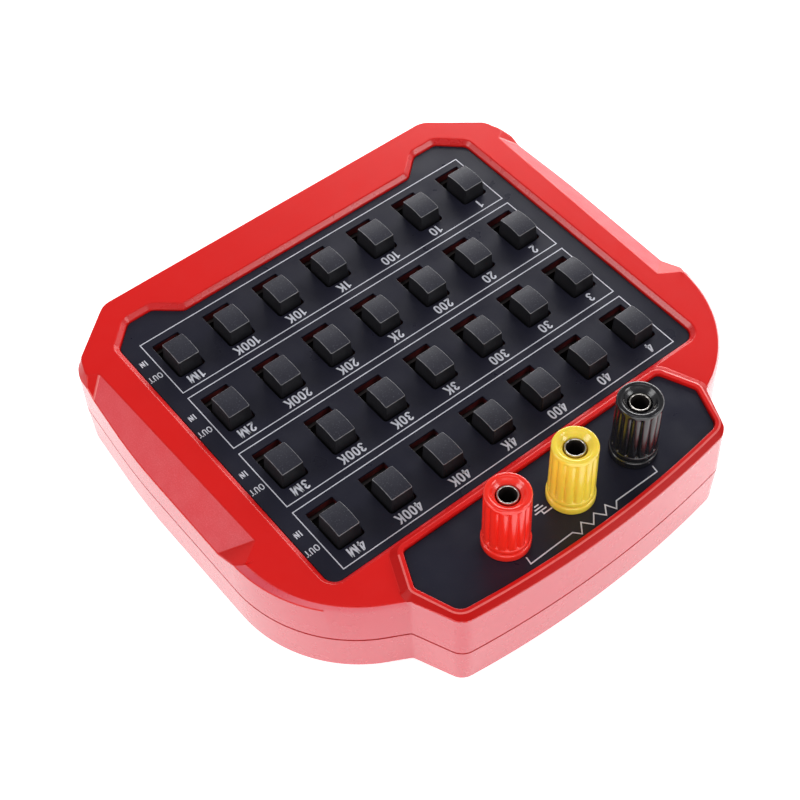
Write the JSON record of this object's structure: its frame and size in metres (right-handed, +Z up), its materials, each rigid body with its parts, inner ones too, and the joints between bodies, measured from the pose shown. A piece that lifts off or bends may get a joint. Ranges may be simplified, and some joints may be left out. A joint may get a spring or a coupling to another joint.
{
  "type": "decade resistance box",
  "caption": "Bench resistance box: rows of slide switches on a dark panel in a two-part moulded case, with threaded binding posts at the rear.",
  "frame": {"origin": "middle of the flat underside", "axes": "+Z up; +Y from the front edge to the binding posts; +X along a row of switches, from the lowest decade to the highest"},
  "size_m": [0.1382, 0.13, 0.0449],
  "materials": {
    "case": "moulded ABS, satin with a fine grain on the finger grips",
    "panel": "printed sheet, satin bluish black",
    "slider": "moulded, matte charcoal",
    "board": "glass-filled laminate with green mask",
    "switch_frame": "pressed sheet",
    "resistor": "lacquered film resistors",
    "nickel": "nickel plate",
    "brass": "turned",
    "steel": "zinc plate",
    "post_black": "moulded, glossy black",
    "post_yellow": "moulded, glossy yellow",
    "post_red": "moulded, glossy red",
    "lead_black": "wire insulation",
    "lead_yellow": "wire insulation",
    "lead_red": "wire insulation"
  },
  "bodies": {
    "case": {"housing_top": "case", "housing_bottom": "case", "switch_panel": "panel", "terminal_panel": "panel", "circuit_board": "board", "resistor_chain": "resistor", "switch_bank_1": "switch_frame", "switch_bank_2": "switch_frame", "switch_bank_3": "switch_frame", "switch_bank_4": "switch_frame", "housing_screw_1": "steel", "housing_screw_2": "steel", "housing_screw_3": "steel", "housing_screw_4": "steel", "post_base_black": "post_black", "post_stud_black": "nickel", "post_nut_black": "nickel", "lead_black": "lead_black", "post_base_yellow": "post_yellow", "post_stud_yellow": "nickel", "post_nut_yellow": "nickel", "lead_yellow": "lead_yellow", "post_base_red": "post_red", "post_stud_red": "nickel", "post_nut_red": "nickel", "lead_red": "lead_red"},
    "switch_1": {"slider_1": "slider"},
    "switch_10": {"slider_10": "slider"},
    "switch_100": {"slider_100": "slider"},
    "switch_1k": {"slider_1k": "slider"},
    "switch_10k": {"slider_10k": "slider"},
    "switch_100k": {"slider_100k": "slider"},
    "switch_1m": {"slider_1m": "slider"},
    "switch_2": {"slider_2": "slider"},
    "switch_20": {"slider_20": "slider"},
    "switch_200": {"slider_200": "slider"},
    "switch_2k": {"slider_2k": "slider"},
    "switch_20k": {"slider_20k": "slider"},
    "switch_200k": {"slider_200k": "slider"},
    "switch_2m": {"slider_2m": "slider"},
    "switch_3": {"slider_3": "slider"},
    "switch_30": {"slider_30": "slider"},
    "switch_300": {"slider_300": "slider"},
    "switch_3k": {"slider_3k": "slider"},
    "switch_30k": {"slider_30k": "slider"},
    "switch_300k": {"slider_300k": "slider"},
    "switch_3m": {"slider_3m": "slider"},
    "switch_4": {"slider_4": "slider"},
    "switch_40": {"slider_40": "slider"},
    "switch_400": {"slider_400": "slider"},
    "switch_4k": {"slider_4k": "slider"},
    "switch_40k": {"slider_40k": "slider"},
    "switch_400k": {"slider_400k": "slider"},
    "switch_4m": {"slider_4m": "slider"},
    "insert_black": {"post_insert_black": "brass"},
    "cap_black": {"post_cap_black": "post_black"},
    "insert_yellow": {"post_insert_yellow": "brass"},
    "cap_yellow": {"post_cap_yellow": "post_yellow"},
    "insert_red": {"post_insert_red": "brass"},
    "cap_red": {"post_cap_red": "post_red"}
  },
  "joints": [
    {"name": "switch_1_slide", "type": "slide", "parent": "case", "child": "switch_1", "axis": [0, -1, 0], "range_m": [0, 0.0036]},
    {"name": "switch_10_slide", "type": "slide", "parent": "case", "child": "switch_10", "axis": [0, -1, 0], "range_m": [0, 0.0036]},
    {"name": "switch_100_slide", "type": "slide", "parent": "case", "child": "switch_100", "axis": [0, -1, 0], "range_m": [0, 0.0036]},
    {"name": "switch_1k_slide", "type": "slide", "parent": "case", "child": "switch_1k", "axis": [0, -1, 0], "range_m": [0, 0.0036]},
    {"name": "switch_10k_slide", "type": "slide", "parent": "case", "child": "switch_10k", "axis": [0, -1, 0], "range_m": [0, 0.0036]},
    {"name": "switch_100k_slide", "type": "slide", "parent": "case", "child": "switch_100k", "axis": [0, -1, 0], "range_m": [0, 0.0036]},
    {"name": "switch_1m_slide", "type": "slide", "parent": "case", "child": "switch_1m", "axis": [0, -1, 0], "range_m": [0, 0.0036]},
    {"name": "switch_2_slide", "type": "slide", "parent": "case", "child": "switch_2", "axis": [0, -1, 0], "range_m": [0, 0.0036]},
    {"name": "switch_20_slide", "type": "slide", "parent": "case", "child": "switch_20", "axis": [0, -1, 0], "range_m": [0, 0.0036]},
    {"name": "switch_200_slide", "type": "slide", "parent": "case", "child": "switch_200", "axis": [0, -1, 0], "range_m": [0, 0.0036]},
    {"name": "switch_2k_slide", "type": "slide", "parent": "case", "child": "switch_2k", "axis": [0, -1, 0], "range_m": [0, 0.0036]},
    {"name": "switch_20k_slide", "type": "slide", "parent": "case", "child": "switch_20k", "axis": [0, -1, 0], "range_m": [0, 0.0036]},
    {"name": "switch_200k_slide", "type": "slide", "parent": "case", "child": "switch_200k", "axis": [0, -1, 0], "range_m": [0, 0.0036]},
    {"name": "switch_2m_slide", "type": "slide", "parent": "case", "child": "switch_2m", "axis": [0, -1, 0], "range_m": [0, 0.0036]},
    {"name": "switch_3_slide", "type": "slide", "parent": "case", "child": "switch_3", "axis": [0, -1, 0], "range_m": [0, 0.0036]},
    {"name": "switch_30_slide", "type": "slide", "parent": "case", "child": "switch_30", "axis": [0, -1, 0], "range_m": [0, 0.0036]},
    {"name": "switch_300_slide", "type": "slide", "parent": "case", "child": "switch_300", "axis": [0, -1, 0], "range_m": [0, 0.0036]},
    {"name": "switch_3k_slide", "type": "slide", "parent": "case", "child": "switch_3k", "axis": [0, -1, 0], "range_m": [0, 0.0036]},
    {"name": "switch_30k_slide", "type": "slide", "parent": "case", "child": "switch_30k", "axis": [0, -1, 0], "range_m": [0, 0.0036]},
    {"name": "switch_300k_slide", "type": "slide", "parent": "case", "child": "switch_300k", "axis": [0, -1, 0], "range_m": [0, 0.0036]},
    {"name": "switch_3m_slide", "type": "slide", "parent": "case", "child": "switch_3m", "axis": [0, -1, 0], "range_m": [0, 0.0036]},
    {"name": "switch_4_slide", "type": "slide", "parent": "case", "child": "switch_4", "axis": [0, -1, 0], "range_m": [0, 0.0036]},
    {"name": "switch_40_slide", "type": "slide", "parent": "case", "child": "switch_40", "axis": [0, -1, 0], "range_m": [0, 0.0036]},
    {"name": "switch_400_slide", "type": "slide", "parent": "case", "child": "switch_400", "axis": [0, -1, 0], "range_m": [0, 0.0036]},
    {"name": "switch_4k_slide", "type": "slide", "parent": "case", "child": "switch_4k", "axis": [0, -1, 0], "range_m": [0, 0.0036]},
    {"name": "switch_40k_slide", "type": "slide", "parent": "case", "child": "switch_40k", "axis": [0, -1, 0], "range_m": [0, 0.0036]},
    {"name": "switch_400k_slide", "type": "slide", "parent": "case", "child": "switch_400k", "axis": [0, -1, 0], "range_m": [0, 0.0036]},
    {"name": "switch_4m_slide", "type": "slide", "parent": "case", "child": "switch_4m", "axis": [0, -1, 0], "range_m": [0, 0.0036]},
    {"name": "post_rise_black", "type": "slide", "parent": "case", "child": "insert_black", "axis": [0, 0, 1], "range_m": [0, 0.0045]},
    {"name": "post_turn_black", "type": "hinge", "parent": "insert_black", "child": "cap_black", "pos_m": [-0.01905, 0.0516, 0.0365], "axis": [0, 0, 1], "range_deg": [0, 2163]},
    {"name": "post_rise_yellow", "type": "slide", "parent": "case", "child": "insert_yellow", "axis": [0, 0, 1], "range_m": [0, 0.0045]},
    {"name": "post_turn_yellow", "type": "hinge", "parent": "insert_yellow", "child": "cap_yellow", "pos_m": [0, 0.0516, 0.0365], "axis": [0, 0, 1], "range_deg": [0, 2163]},
    {"name": "post_rise_red", "type": "slide", "parent": "case", "child": "insert_red", "axis": [0, 0, 1], "range_m": [0, 0.0045]},
    {"name": "post_turn_red", "type": "hinge", "parent": "insert_red", "child": "cap_red", "pos_m": [0.01905, 0.0516, 0.0365], "axis": [0, 0, 1], "range_deg": [0, 2163]}
  ],
  "couplings": [
    {"joint": "post_turn_black", "follows": "post_rise_black", "rad_per_m": 8377.6},
    {"joint": "post_turn_yellow", "follows": "post_rise_yellow", "rad_per_m": 8377.6},
    {"joint": "post_turn_red", "follows": "post_rise_red", "rad_per_m": 8377.6}
  ]
}
